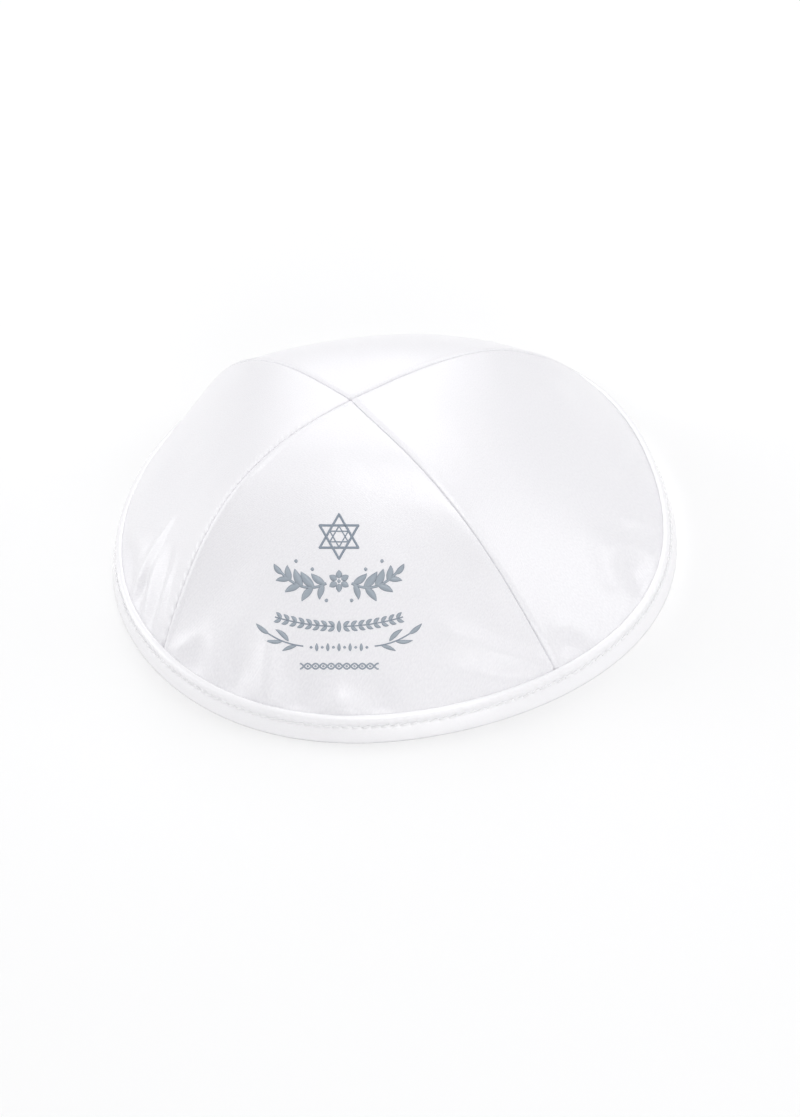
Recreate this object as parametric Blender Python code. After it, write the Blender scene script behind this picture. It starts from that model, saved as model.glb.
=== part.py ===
"""Skullcap sewn from four satin panels, with a binding folded over its rim.

Blender 4.5, metres, +Z up. The cap rests on the binding's flat lower edge at Z = 0, and the
middle of its outline is at X = Y = 0. Places on it are given round the crown's top: an azimuth
about the upright through it, and a share of the way down to the binding's upper edge.
"""
import math
from collections import namedtuple

import bmesh
import bpy
from mathutils import Vector

# Sizes of the crown
RIM_RADIUS = 0.0820
CROWN_RISE = 0.0439
PANEL_WALL = 0.0012
SEAM_GAP = 0.0003
FOLD_HEIGHT = 0.0011

# Sizes of the binding, a strip of cloth folded over the panels' lower edges
BINDING_WIDTH = 0.0075
BINDING_WALL = 0.0010
BINDING_SLOPE = math.radians(69)
TUCK_DEPTH = 0.0040
HEM_THICKNESS = 0.0022
CLEARANCE = 0.0003

# Shape of the crown: a profile power of 2 would be a parabola, and a squareness of 1 would draw
# the middle of each panel in to a straight line between its seams
PROFILE_POWER = 3.13
SQUARENESS = 0.70

# Faces along and down each panel, and round the binding
PANEL_COLUMNS = 32
PANEL_ROWS = (0.12, 0.26, 0.40, 0.53, 0.64, 0.73, 0.81, 0.87, 0.915, 0.95, 0.98, 1.0)
BINDING_STEPS = 112

# The outline of the rim: how many waves go round it, how high they are as a share of the
# radius, and the azimuth of a crest in degrees
Wave = namedtuple("Wave", "count height crest")
RIM_WAVES = (
    Wave(count=1, height=0.0902, crest=9.0),
    Wave(count=2, height=0.0300, crest=90.0),
    Wave(count=3, height=0.0069, crest=-47.6),
    Wave(count=4, height=0.0121, crest=-41.9),
    Wave(count=5, height=0.0072, crest=-31.2),
)

# The seams: azimuth at the rim in degrees, and the sideways bow half way up as a share of the
# rim's radius
Seam = namedtuple("Seam", "azimuth bow")
FRONT_LEFT_SEAM = Seam(azimuth=216.3, bow=-0.0171)
FRONT_RIGHT_SEAM = Seam(azimuth=301.75, bow=-0.0238)
BACK_RIGHT_SEAM = Seam(azimuth=31.3, bow=-0.0166)
BACK_LEFT_SEAM = Seam(azimuth=128.8, bow=-0.0074)

# Soft folds where the binding gathers a panel. Across and down place the middle of a fold, as
# shares of the way between the seams and down from the crown's top. Its half width and half
# length are shares of the same, lean is its drift across for each share down, and height is a
# share of FOLD_HEIGHT.
Fold = namedtuple("Fold", "across down half_width half_length lean height")
FRONT_FOLDS = (
    Fold(across=0.06, down=0.95, half_width=0.035, half_length=0.06, lean=0.5, height=0.5),
    Fold(across=0.15, down=0.95, half_width=0.060, half_length=0.06, lean=0.8, height=0.9),
    Fold(across=0.33, down=0.97, half_width=0.050, half_length=0.06, lean=0.0, height=0.9),
    Fold(across=0.53, down=0.98, half_width=0.050, half_length=0.03, lean=0.0, height=0.5),
    Fold(across=0.90, down=0.94, half_width=0.070, half_length=0.07, lean=1.0, height=0.9),
)
RIGHT_FOLDS = (
    Fold(across=0.07, down=0.95, half_width=0.050, half_length=0.05, lean=0.4, height=0.8),
    Fold(across=0.29, down=0.94, half_width=0.070, half_length=0.06, lean=1.0, height=1.0),
    Fold(across=0.45, down=0.96, half_width=0.040, half_length=0.04, lean=0.8, height=0.5),
    Fold(across=0.68, down=0.94, half_width=0.060, half_length=0.07, lean=0.9, height=0.4),
)
BACK_FOLDS = (
    Fold(across=0.25, down=0.95, half_width=0.070, half_length=0.07, lean=0.5, height=0.4),
    Fold(across=0.70, down=0.95, half_width=0.060, half_length=0.07, lean=-0.5, height=0.4),
)
LEFT_FOLDS = (
    Fold(across=0.74, down=0.94, half_width=0.040, half_length=0.10, lean=0.6, height=0.9),
    Fold(across=0.83, down=0.95, half_width=0.035, half_length=0.08, lean=0.8, height=0.9),
    Fold(across=0.92, down=0.95, half_width=0.035, half_length=0.08, lean=0.6, height=0.6),
)

# The binding's outer face, from its rolled fold past the stitched groove to the hem: along is a
# share of the binding's width, and relief a share of its wall, out from the flat of the face
Relief = namedtuple("Relief", "along relief")
BINDING_FACE = (
    Relief(along=0.00, relief=-0.50),
    Relief(along=0.04, relief=-0.05),
    Relief(along=0.14, relief=0.22),
    Relief(along=0.26, relief=0.06),
    Relief(along=0.34, relief=-0.15),
    Relief(along=0.42, relief=0.00),
    Relief(along=0.94, relief=0.00),
)
HEM_ROUNDING = 0.35

# Places that follow from the sizes, out from the panels' outer face
CHANNEL_OUTER = CLEARANCE
CHANNEL_INNER = -PANEL_WALL - CLEARANCE
CHANNEL_END = TUCK_DEPTH + CLEARANCE
BINDING_FRONT = CHANNEL_OUTER + BINDING_WALL
BINDING_REAR = CHANNEL_INNER - BINDING_WALL
RIM_HEIGHT = BINDING_WIDTH * math.sin(BINDING_SLOPE) - BINDING_FRONT * math.cos(BINDING_SLOPE)

# Colours, linear, and finish
SATIN = (0.88, 0.88, 0.90, 1.0)
SATIN_ROUGHNESS = 0.42
BINDING_SATIN = (0.91, 0.91, 0.92, 1.0)
BINDING_ROUGHNESS = 0.36
SMOOTH_BELOW = math.radians(40)
MERGE_DISTANCE = 0.00001
QUARTER_TURN = math.pi / 2


def rim_radius(azimuth):
    """Distance from the crown's top out to the binding's upper edge, seen from above."""
    waves = (w.height * math.cos(w.count * (azimuth - math.radians(w.crest))) for w in RIM_WAVES)
    return RIM_RADIUS * (1 + sum(waves))


def seam_azimuth(seam, down):
    """Azimuth of a seam at a share of the way down to the rim."""
    return math.radians(seam.azimuth) + 4 * seam.bow * (1 - down)


def seam_margin(azimuth, down):
    """Angle between a seam and the edge of the panel beside it."""
    return math.asin(min(1, SEAM_GAP / 2 / (down * rim_radius(azimuth))))


def panel_tip(first, second):
    """Share down at which the margins of two seams meet, so that the panel starts there."""
    opening = (seam_azimuth(second, 0) - seam_azimuth(first, 0)) % (2 * math.pi)
    radius = min(rim_radius(seam_azimuth(seam, 0)) for seam in (first, second))
    return SEAM_GAP / 2 / math.sin(opening / 2) / radius


def crown_place(first, second, across, down):
    """Azimuth, radius and height of the outer face, at shares across a panel and down it."""
    start = seam_azimuth(first, down)
    opening = (seam_azimuth(second, down) - start) % (2 * math.pi)
    near = seam_margin(start, down)
    far = seam_margin(start + opening, down)
    turn = near + across * max(0, opening - near - far)
    squared = 1 - math.cos(QUARTER_TURN / 2) / math.cos((turn / opening - 0.5) * QUARTER_TURN)
    drawn_in = SQUARENESS * 4 * down * (1 - down) * squared
    radius = down * rim_radius(start + turn) * (1 - drawn_in)
    height = RIM_HEIGHT + CROWN_RISE * (1 - down ** PROFILE_POWER)
    return start + turn, radius, height


def swell(distance):
    """A smooth rise from 0 at a distance of 1 to 1 at a distance of 0."""
    return math.cos(min(1, abs(distance)) * QUARTER_TURN) ** 2


def fold_rise(folds, across, down):
    """How far the folds lift the panel, fading out where it enters the binding."""
    rise = 0
    for fold in folds:
        drift = across - fold.across - fold.lean * (down - fold.down)
        rise += fold.height * swell(drift / fold.half_width) * swell((down - fold.down) / fold.half_length)
    fading = min(1, (1 - down) / (1 - PANEL_ROWS[-2]))
    return FOLD_HEIGHT * rise * fading


def polar(azimuth, radius, height):
    return Vector((radius * math.cos(azimuth), radius * math.sin(azimuth), height))


def rim_place(azimuth, along, out):
    """A point of the binding: along its slope from the upper edge, and out from the panels."""
    radius = rim_radius(azimuth) + along * math.cos(BINDING_SLOPE) + out * math.sin(BINDING_SLOPE)
    height = RIM_HEIGHT - along * math.sin(BINDING_SLOPE) + out * math.cos(BINDING_SLOPE)
    return polar(azimuth, radius, height)


def panel_place(first, second, folds, across, down, inward):
    """A point of a panel; a share down over 1 is its hem, tucked into the binding."""
    if down > 1 or math.isclose(down, 1):
        azimuth = crown_place(first, second, across, 1)[0]
        return rim_place(azimuth, (down - 1) * TUCK_DEPTH, -inward)
    step = min(0.01, down / 2)
    _, radius_above, height_above = crown_place(first, second, across, down - step)
    _, radius_below, height_below = crown_place(first, second, across, down + step)
    azimuth, radius, height = crown_place(first, second, across, down)
    slope = Vector((radius_below - radius_above, height_below - height_above)).normalized()
    lift = fold_rise(folds, across, down) - inward
    return polar(azimuth, radius - lift * slope.y, height + lift * slope.x)


def map_vertices(mesh, place):
    """Move each vertex to its place, found from its own x, y and z."""
    for vertex in mesh.verts:
        vertex.co = place(*vertex.co)


def add_object(name, mesh, material, parent):
    """Close up, shade and link a mesh as one named piece."""
    bmesh.ops.remove_doubles(mesh, verts=mesh.verts, dist=MERGE_DISTANCE)
    bmesh.ops.dissolve_degenerate(mesh, edges=mesh.edges, dist=MERGE_DISTANCE)
    bmesh.ops.recalc_face_normals(mesh, faces=mesh.faces)
    data = bpy.data.meshes.new(name)
    mesh.to_mesh(data)
    mesh.free()
    data.shade_smooth()
    data.set_sharp_from_angle(angle=SMOOTH_BELOW)
    data.materials.append(material)
    piece = bpy.data.objects.new(name, data)
    piece.parent = parent
    bpy.data.collections[COLLECTION].objects.link(piece)
    return piece


def add_material(name, colour, roughness):
    material = bpy.data.materials.new(name)
    material.use_nodes = True
    shader = material.node_tree.nodes["Principled BSDF"]
    shader.inputs["Base Color"].default_value = colour
    shader.inputs["Roughness"].default_value = roughness
    shader.inputs["Metallic"].default_value = 0.0
    return material


def add_panel(name, first, second, folds, parent):
    """One gore: a flat slab of cloth, laid over the crown between two seams."""
    rows = (panel_tip(first, second),) + PANEL_ROWS + (2,)
    mesh = bmesh.new()
    bmesh.ops.create_grid(mesh, x_segments=PANEL_COLUMNS, y_segments=len(rows) - 1, size=0.5)
    backing = bmesh.ops.extrude_face_region(mesh, geom=mesh.faces[:])
    backing_vertices = [item for item in backing["geom"] if isinstance(item, bmesh.types.BMVert)]
    bmesh.ops.translate(mesh, verts=backing_vertices, vec=(0, 0, PANEL_WALL))

    def place(x, y, z):
        row = round((y + 0.5) * (len(rows) - 1))
        return panel_place(first, second, folds, x + 0.5, rows[row], z)

    map_vertices(mesh, place)
    return add_object(name, mesh, add_material(name + "_satin", SATIN, SATIN_ROUGHNESS), parent)


def floor_corner(out):
    """Where the binding meets the floor, as a place along and out."""
    along = (RIM_HEIGHT + out * math.cos(BINDING_SLOPE)) / math.sin(BINDING_SLOPE)
    return along, out


def binding_section():
    """Outline of the binding cut across: outer face, hem, inner face, then its channel."""
    face = [(row.along * BINDING_WIDTH, BINDING_FRONT + row.relief * BINDING_WALL) for row in BINDING_FACE]
    hem = [
        floor_corner(BINDING_FRONT - HEM_ROUNDING * BINDING_WALL),
        floor_corner(BINDING_FRONT - HEM_THICKNESS),
    ]
    lining = [(CHANNEL_END, BINDING_REAR), (0, BINDING_REAR)]
    channel = [
        (0, CHANNEL_INNER),
        (CHANNEL_END, CHANNEL_INNER),
        (CHANNEL_END, CHANNEL_OUTER),
        (0, CHANNEL_OUTER),
    ]
    return face + hem + lining + channel


def add_binding(name, parent):
    """The strip folded over the rim: its section spun round a circle, then let out to the rim."""
    mesh = bmesh.new()
    section = [mesh.verts.new((RIM_RADIUS + out, 0, -along)) for along, out in binding_section()]
    edges = [mesh.edges.new((section[i - 1], corner)) for i, corner in enumerate(section)]
    bmesh.ops.spin(
        mesh, geom=section + edges, axis=(0, 0, 1), cent=(0, 0, 0),
        angle=2 * math.pi, steps=BINDING_STEPS, use_merge=True,
    )
    map_vertices(mesh, lambda x, y, z: rim_place(math.atan2(y, x), -z, math.hypot(x, y) - RIM_RADIUS))
    material = add_material(name + "_satin", BINDING_SATIN, BINDING_ROUGHNESS)
    return add_object(name, mesh, material, parent)


def outline_middle():
    """Middle of the cap's outline seen from above, measured from the crown's top."""
    azimuths = [2 * math.pi * step / BINDING_STEPS for step in range(BINDING_STEPS)]
    corners = [rim_place(azimuth, along, out) for azimuth in azimuths for along, out in binding_section()]
    middle_x = (min(corner.x for corner in corners) + max(corner.x for corner in corners)) / 2
    middle_y = (min(corner.y for corner in corners) + max(corner.y for corner in corners)) / 2
    return middle_x, middle_y


COLLECTION = "skullcap"
PANELS = (
    ("gore_front", FRONT_LEFT_SEAM, FRONT_RIGHT_SEAM, FRONT_FOLDS),
    ("gore_right", FRONT_RIGHT_SEAM, BACK_RIGHT_SEAM, RIGHT_FOLDS),
    ("gore_back", BACK_RIGHT_SEAM, BACK_LEFT_SEAM, BACK_FOLDS),
    ("gore_left", BACK_LEFT_SEAM, FRONT_LEFT_SEAM, LEFT_FOLDS),
)


def main():
    for item in list(bpy.data.objects):
        bpy.data.objects.remove(item, do_unlink=True)
    collection = bpy.data.collections.new(COLLECTION)
    bpy.context.scene.collection.children.link(collection)
    middle_x, middle_y = outline_middle()
    crown_top = bpy.data.objects.new("crown_top", None)
    crown_top.location = (-middle_x, -middle_y, 0)
    collection.objects.link(crown_top)
    for name, first, second, folds in PANELS:
        add_panel(name, first, second, folds, crown_top)
    add_binding("rim_binding", crown_top)


main()
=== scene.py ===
"""Looks of the skullcap: satin gores, a stitched binding and a grey print.

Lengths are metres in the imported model's frame. Places on the cap are given round the crown's
top, as in the part's source: an azimuth about the upright through it, and a share of the way
down from it to the binding's upper edge. Arrays hold one value for each row and column of a grid.
"""
import math
from collections import namedtuple

import bmesh
import bpy
import numpy as np
from mathutils import Matrix, Vector, noise
from mathutils.bvhtree import BVHTree


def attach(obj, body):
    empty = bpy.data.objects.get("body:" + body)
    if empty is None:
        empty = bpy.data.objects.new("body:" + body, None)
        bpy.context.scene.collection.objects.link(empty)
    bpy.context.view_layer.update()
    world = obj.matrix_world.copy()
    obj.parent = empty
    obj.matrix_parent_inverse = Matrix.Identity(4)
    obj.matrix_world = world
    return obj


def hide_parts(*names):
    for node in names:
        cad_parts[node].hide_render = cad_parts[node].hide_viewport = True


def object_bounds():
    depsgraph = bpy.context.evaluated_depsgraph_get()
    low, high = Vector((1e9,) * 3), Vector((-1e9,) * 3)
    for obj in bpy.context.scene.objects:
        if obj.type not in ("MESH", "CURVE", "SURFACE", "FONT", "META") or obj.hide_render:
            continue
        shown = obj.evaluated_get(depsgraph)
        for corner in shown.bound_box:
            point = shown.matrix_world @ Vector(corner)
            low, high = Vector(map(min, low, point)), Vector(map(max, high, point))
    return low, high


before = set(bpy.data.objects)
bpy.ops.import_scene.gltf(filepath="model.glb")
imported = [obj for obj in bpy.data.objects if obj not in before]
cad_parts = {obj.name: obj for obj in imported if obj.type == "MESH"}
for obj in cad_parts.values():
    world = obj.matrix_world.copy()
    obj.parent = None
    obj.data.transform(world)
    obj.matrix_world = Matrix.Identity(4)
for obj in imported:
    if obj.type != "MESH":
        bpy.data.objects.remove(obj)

CAD_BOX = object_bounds()

# Sizes shared with the part's source
RIM_RADIUS = 0.0820
CROWN_RISE = 0.0439
BINDING_WIDTH = 0.0075
BINDING_WALL = 0.0010
BINDING_SLOPE = math.radians(69)
CLEARANCE = 0.0003
PROFILE_POWER = 3.13
SQUARENESS = 0.70
BINDING_FRONT = CLEARANCE + BINDING_WALL
BINDING_WIDEST = 0.94
RIM_HEIGHT = BINDING_WIDTH * math.sin(BINDING_SLOPE) - BINDING_FRONT * math.cos(BINDING_SLOPE)

# Waves of the outline seen from above: how many round the rim, height as a share of the radius,
# and the azimuth of a crest in degrees
Wave = namedtuple("Wave", "count height crest")
RIM_WAVES = (
    Wave(count=1, height=0.0902, crest=9.0),
    Wave(count=2, height=0.0300, crest=90.0),
    Wave(count=3, height=0.0069, crest=-47.6),
    Wave(count=4, height=0.0121, crest=-41.9),
    Wave(count=5, height=0.0072, crest=-31.2),
)

# The seams: azimuth at the rim in degrees, and sideways bow as a share of the rim's radius
Seam = namedtuple("Seam", "azimuth bow")
FRONT_LEFT_SEAM = Seam(azimuth=216.3, bow=-0.0171)
FRONT_RIGHT_SEAM = Seam(azimuth=301.75, bow=-0.0238)
BACK_RIGHT_SEAM = Seam(azimuth=31.3, bow=-0.0166)
BACK_LEFT_SEAM = Seam(azimuth=128.8, bow=-0.0074)

# The seam allowance is pressed to one side and shows there as a low step: side 1 is that of
# growing azimuth. Puckers are the small pulls beside the stitches, on one side.
Sewing = namedtuple("Sewing", "step_side step_width step_height pucker_side pucker")
SEWING = {
    FRONT_LEFT_SEAM: Sewing(1, step_width=0.0022, step_height=0.00032, pucker_side=-1, pucker=0.00070),
    FRONT_RIGHT_SEAM: Sewing(1, step_width=0.0026, step_height=0.00030, pucker_side=1, pucker=0.00010),
    BACK_RIGHT_SEAM: Sewing(1, step_width=0.0017, step_height=0.00028, pucker_side=1, pucker=0.00016),
    BACK_LEFT_SEAM: Sewing(-1, step_width=0.0017, step_height=0.00028, pucker_side=-1, pucker=0.00016),
}
CLOTH_THICKNESS = 0.0009
SEAM_GROOVE = 0.00070
SEAM_GROOVE_WIDTH = 0.00013
SEAM_DIP = 0.00016
SEAM_DIP_WIDTH = 0.0013

# A step is highest at this share of its width, and puckers are full from this share down
STEP_CREST = 0.75
PUCKER_FULL = 0.5
PUCKER_REACH = 0.0010

# Near the rim the binding holds the cloth flat, over this share of the way down. The back of the
# cloth shows half of each furrow.
HELD_BY_BINDING = 0.008
BACK_SHARE = 0.5

# The stitches: shares of the binding's width for their line and slant, of the pitch for half
# their length, and of the binding's front for their seat. The rest are metres and shares of those.
STITCH_PITCH = 0.0026
STITCH_LINE = 0.34
STITCH_SLANT = 0.035
STITCH_HALF_LENGTH = 0.40
STITCH_SEAT = 0.90
STITCH_ARCH = 0.00026
STITCH_SINK = 0.00002
STITCH_POINTS = (-1, -0.6, 0, 0.6, 1)
STITCH_TAPER = (0.6, 0.95, 1, 0.95, 0.6)
THREAD_RADIUS = 0.00018

# Ridges and furrows where the binding gathers the cloth. Each runs from a start by a middle to an
# end, every one of them an azimuth in degrees and a share down. Width and height are metres.
# The height fades to a share of itself at both ends.
RIDGE_FADE = 0.45
RIDGE_POINTS = 15
Ridge = namedtuple("Ridge", "start middle end width height")
FRONT_RIDGES = (
    Ridge(start=(219.0, 1.000), middle=(222.0, 0.975), end=(224.5, 0.945), width=0.0016, height=0.0008),
    Ridge(start=(226.0, 1.000), middle=(227.0, 0.985), end=(228.0, 0.970), width=0.0024, height=-0.0005),
    Ridge(start=(234.5, 1.000), middle=(232.0, 0.950), end=(227.0, 0.930), width=0.0024, height=0.0011),
    Ridge(start=(236.0, 0.940), middle=(238.0, 0.970), end=(239.0, 0.995), width=0.0034, height=-0.0010),
    Ridge(start=(246.5, 1.000), middle=(245.0, 0.965), end=(243.5, 0.900), width=0.0036, height=0.0017),
    Ridge(start=(250.0, 0.995), middle=(253.0, 0.960), end=(256.0, 0.985), width=0.0032, height=-0.0010),
    Ridge(start=(257.0, 1.000), middle=(260.5, 0.965), end=(264.0, 1.000), width=0.0022, height=0.0011),
    Ridge(start=(264.0, 0.965), middle=(268.0, 0.965), end=(271.0, 0.995), width=0.0028, height=-0.0006),
    Ridge(start=(286.0, 0.890), middle=(293.5, 0.940), end=(301.5, 0.990), width=0.0026, height=0.0014),
    Ridge(start=(283.0, 0.945), middle=(290.0, 0.975), end=(297.0, 0.990), width=0.0016, height=-0.0007),
)
RIGHT_RIDGES = (
    Ridge(start=(302.8, 0.970), middle=(306.0, 0.905), end=(310.5, 0.980), width=0.0020, height=0.0010),
    Ridge(start=(305.0, 0.975), middle=(306.5, 0.965), end=(308.0, 0.980), width=0.0016, height=-0.0008),
    Ridge(start=(321.5, 0.965), middle=(328.0, 0.850), end=(336.0, 1.000), width=0.0034, height=0.0019),
    Ridge(start=(327.0, 0.990), middle=(330.5, 0.955), end=(333.5, 0.985), width=0.0026, height=-0.0017),
    Ridge(start=(319.5, 0.950), middle=(321.0, 0.970), end=(322.0, 0.990), width=0.0020, height=-0.0006),
    Ridge(start=(339.5, 0.935), middle=(343.0, 0.945), end=(344.5, 0.995), width=0.0014, height=0.0008),
    Ridge(start=(353.0, 0.910), middle=(358.0, 0.940), end=(364.0, 0.975), width=0.0017, height=-0.0007),
    Ridge(start=(350.0, 0.945), middle=(355.0, 0.965), end=(361.0, 0.990), width=0.0016, height=0.0006),
    Ridge(start=(359.0, 0.920), middle=(366.0, 0.945), end=(373.0, 0.980), width=0.0020, height=0.0006),
)
BACK_RIDGES = (
    Ridge(start=(53.0, 0.90), middle=(57.0, 0.95), end=(60.0, 1.00), width=0.0030, height=0.0008),
    Ridge(start=(62.0, 0.94), middle=(65.0, 0.96), end=(66.0, 1.00), width=0.0020, height=-0.0006),
    Ridge(start=(79.0, 1.00), middle=(83.0, 0.93), end=(88.0, 1.00), width=0.0018, height=0.0008),
    Ridge(start=(97.0, 0.90), middle=(99.0, 0.95), end=(99.0, 1.00), width=0.0030, height=0.0009),
    Ridge(start=(113.0, 0.92), middle=(116.0, 0.95), end=(121.0, 0.99), width=0.0022, height=0.0008),
)
LEFT_RIDGES = (
    Ridge(start=(176.0, 0.965), middle=(187.0, 0.920), end=(196.0, 0.965), width=0.0022, height=0.0007),
    Ridge(start=(180.0, 0.990), middle=(188.0, 0.955), end=(196.0, 0.995), width=0.0014, height=-0.0006),
    Ridge(start=(191.5, 0.850), middle=(194.5, 0.930), end=(198.5, 1.000), width=0.0019, height=0.0011),
    Ridge(start=(198.5, 0.945), middle=(200.0, 0.965), end=(201.5, 0.995), width=0.0018, height=-0.0008),
    Ridge(start=(199.0, 0.920), middle=(203.5, 0.950), end=(207.0, 1.000), width=0.0016, height=0.0010),
    Ridge(start=(201.0, 0.875), middle=(204.0, 0.890), end=(206.5, 0.930), width=0.0022, height=-0.0008),
    Ridge(start=(206.5, 0.925), middle=(208.0, 0.950), end=(209.5, 0.985), width=0.0015, height=-0.0007),
    Ridge(start=(206.5, 0.865), middle=(210.5, 0.935), end=(213.0, 1.000), width=0.0016, height=0.0009),
)

# Each gore's piece and node, its seams in turn and its ridges
GORES = (
    ("front_satin", "gore_front", FRONT_LEFT_SEAM, FRONT_RIGHT_SEAM, FRONT_RIDGES),
    ("right_satin", "gore_right", FRONT_RIGHT_SEAM, BACK_RIGHT_SEAM, RIGHT_RIDGES),
    ("back_satin", "gore_back", BACK_RIGHT_SEAM, BACK_LEFT_SEAM, BACK_RIDGES),
    ("left_satin", "gore_left", BACK_LEFT_SEAM, FRONT_LEFT_SEAM, LEFT_RIDGES),
)

# Broad hollows and swells of the cloth: azimuth in degrees, share down, half width in degrees,
# half length as a share down, and height in metres
Swell = namedtuple("Swell", "azimuth down half_width half_length height")
SWELLS = (
    Swell(azimuth=293.0, down=0.84, half_width=6.0, half_length=0.09, height=-0.0009),
    Swell(azimuth=226.0, down=0.83, half_width=9.0, half_length=0.11, height=-0.0009),
    Swell(azimuth=205.0, down=0.86, half_width=6.0, half_length=0.09, height=-0.0005),
    Swell(azimuth=160.0, down=0.92, half_width=19.0, half_length=0.075, height=0.0015),
    Swell(azimuth=375.0, down=0.79, half_width=7.0, half_length=0.05, height=0.0010),
    Swell(azimuth=384.0, down=0.70, half_width=5.0, half_length=0.07, height=-0.0010),
)

# Slight unevenness of the cloth: height in metres, and waves to the metre
Drift = namedtuple("Drift", "height waves")
CLOTH_DRIFTS = (Drift(height=0.00016, waves=55), Drift(height=0.00007, waves=160))

# Faces of the gores and the binding. Edge columns are metres from a seam, and take a set share
# of a gore's width at most. Hem rows are metres below the binding's upper edge.
EDGE_COLUMNS = (0, 0.00006, 0.00014, 0.00028, 0.0005, 0.0008, 0.0012, 0.0017, 0.0024, 0.0034, 0.0048)
EDGE_SHARE = 0.3
MIDDLE_COLUMNS = 74
CROWN_ROWS = 200
HEM_ROWS = (0.0006, 0.0014, 0.0024)
BINDING_STEPS = 1500
SECTION_STEPS = 2

# Steps of curves that are only measured, and what counts as no width, one point or a sharp edge
FINE_STEPS = 6000
OUTLINE_STEPS = 1440
PROFILE_STEPS = 2000
SLOPE_STEP = 0.004
NARROWEST = 0.000001
WELD_DISTANCE = 0.000002
SHARP_EDGE = math.radians(70)

# The binding cut across: along is a share of its width, and out is a share of its front's
# distance from the gores. The outer face comes first, then the hem and the inner face.
Corner = namedtuple("Corner", "along out")
BINDING_SECTION = (
    Corner(along=-0.015, out=-0.06),
    Corner(along=-0.045, out=0.14),
    Corner(along=-0.040, out=0.42),
    Corner(along=-0.005, out=0.80),
    Corner(along=0.050, out=1.10),
    Corner(along=0.115, out=1.22),
    Corner(along=0.200, out=1.15),
    Corner(along=0.280, out=0.92),
    Corner(along=0.325, out=0.90),
    Corner(along=0.350, out=0.90),
    Corner(along=0.385, out=0.96),
    Corner(along=0.450, out=1.02),
    Corner(along=0.600, out=1.05),
    Corner(along=0.800, out=1.02),
    Corner(along=0.920, out=0.95),
    Corner(along=0.970, out=0.80),
    Corner(along=0.975, out=0.60),
    Corner(along=0.930, out=-0.10),
    Corner(along=0.880, out=-0.62),
    Corner(along=0.820, out=-0.80),
    Corner(along=0.600, out=-1.20),
    Corner(along=0.340, out=-1.55),
    Corner(along=0.150, out=-1.75),
    Corner(along=0.030, out=-1.75),
    Corner(along=-0.010, out=-1.50),
    Corner(along=0.030, out=-1.05),
    Corner(along=0.300, out=-0.85),
    Corner(along=0.300, out=-0.10),
)

# How the binding's front moves in and out round the rim: along is a share of its width, and width
# is metres. Slow and fine follow its unevenness, pull follows the stitches, and pit is the dimple
# between two stitches.
Zone = namedtuple("Zone", "along width slow fine pull pit")
ROLL = Zone(along=0.14, width=0.0011, slow=0.00010, fine=0.00008, pull=-0.00004, pit=0)
GROOVE = Zone(along=STITCH_LINE, width=0.0006, slow=0, fine=0.00005, pull=0.00006, pit=-0.00010)
HEM = Zone(along=0.65, width=0.0016, slow=0.00012, fine=0.00006, pull=0, pit=0)
PIT_POWER = 6

# Waves of the unevenness to the metre
SLOW_WAVES = 90
FINE_WAVES = 260
FINE_START = (5, 0, 0)

# The roll's own shift down the slope, with the unevenness and with the stitches
ROLL_SLOW_SHIFT = -0.00010
ROLL_PULL_SHIFT = -0.00007

# The print, drawn upright round the middle of its star as the camera sees it. The garland, the
# laurel row and the sprigs are given for the right half and mirrored; angles are degrees.
PRINT_AZIMUTH = 260.3
PRINT_DOWN = 0.669
PRINT_STEP = 0.0004
FILM_HEIGHT = 0.00004
FILL_HEIGHT = 0.000064
FILM_STAGGER = 0.000002
STAGGER_LEVELS = 5
OUTLINE_WIDTH = 0.00014
THINNEST_FILL = 0.00002

# Round ends of lines: places as shares of half the width, and how blunt the tip is
CAP_PLACES = (1, 0.85, 0.5)
CAP_TIP = 0.02

# Leaves: fewest points, least width as a share of the full one, lean of the widest place towards
# the base, and fullness
LEAF_POINTS = 9
LEAF_TIP = 0.04
LEAF_LEAN = 0.85
LEAF_FULLNESS = 0.8

STAR_RADIUS = 0.0060
STAR_LINE = 0.00062
INNER_STAR_RADIUS = 0.00285
INNER_STAR_LINE = 0.00034
STEM_WIDTH = 0.00036
SPRIG_STEM = ((0.0096, -0.0295), (0.0148, -0.0290), (0.0192, -0.0260))
SPRIG_POINTS = 24
Leaf = namedtuple("Leaf", "base tip sag width")
SPRIG_LEAVES = (
    Leaf(base=(0.0189, -0.0262), tip=(0.0223, -0.0234), sag=-0.00020, width=0.00125),
    Leaf(base=(0.0136, -0.0282), tip=(0.0171, -0.0250), sag=0.00035, width=0.00130),
    Leaf(base=(0.0152, -0.0282), tip=(0.0199, -0.0279), sag=-0.00030, width=0.00105),
    Leaf(base=(0.0114, -0.0294), tip=(0.0153, -0.0308), sag=0.00020, width=0.00105),
)
CENTRE_LEAF = Leaf(base=(0.0, -0.0258), tip=(0.0, -0.0226), sag=0.0, width=0.0012)

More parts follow.
